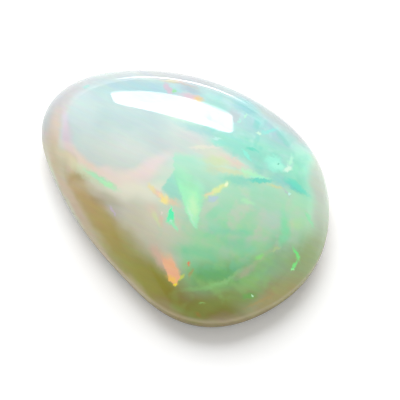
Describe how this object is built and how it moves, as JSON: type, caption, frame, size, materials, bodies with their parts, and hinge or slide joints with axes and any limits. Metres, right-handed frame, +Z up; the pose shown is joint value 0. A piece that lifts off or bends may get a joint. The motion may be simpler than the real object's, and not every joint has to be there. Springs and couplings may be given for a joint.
{
  "type": "polished opal specimen",
  "caption": "Pear-shaped polished freeform opal with a high rounded dome, a soft low edge and a flat back that it lies on.",
  "frame": {"origin": "on the flat back, in the middle of the stone's box", "axes": "+X towards the blunt end along the stone's length, +Z up out of the flat back"},
  "size_m": [0.024, 0.0174, 0.0085],
  "materials": {
    "opal": "polished"
  },
  "bodies": {
    "root": {"opal_stone": "opal"}
  },
  "joints": []
}
